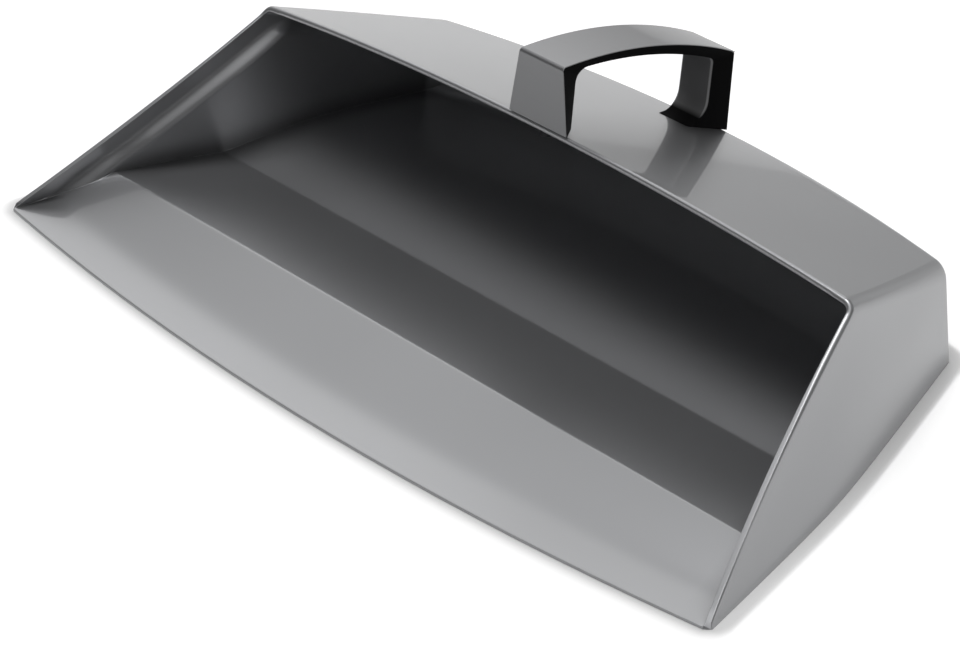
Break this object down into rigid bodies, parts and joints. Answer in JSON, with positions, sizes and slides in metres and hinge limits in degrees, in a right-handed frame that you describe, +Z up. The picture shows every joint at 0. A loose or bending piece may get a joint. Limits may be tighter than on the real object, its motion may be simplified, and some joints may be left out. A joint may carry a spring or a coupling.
{
  "type": "hooded hand dustpan",
  "caption": "Wide one-piece hand dustpan with a bowed lip, a ridge behind it, a hood over the rear half and a short bridge handle running front to back along the hood.",
  "frame": {"origin": "on the floor, under the middle of the part's overall width and depth", "axes": "+Z up; the lip faces -Y, the back faces +Y, and +X runs along the lip to the right as seen from the lip's side"},
  "size_m": [0.37, 0.2112, 0.0984],
  "materials": {
    "pan_grey": "high-gloss metallic grey moulding",
    "grip_black": "satin black moulding",
    "cover_grey": "high-gloss metallic grey moulding",
    "screw_steel": "plain steel"
  },
  "bodies": {
    "root": {"pan_shell": "pan_grey", "grip_core": "grip_black", "handle_cover": "cover_grey", "handle_screw": "screw_steel"}
  },
  "joints": []
}
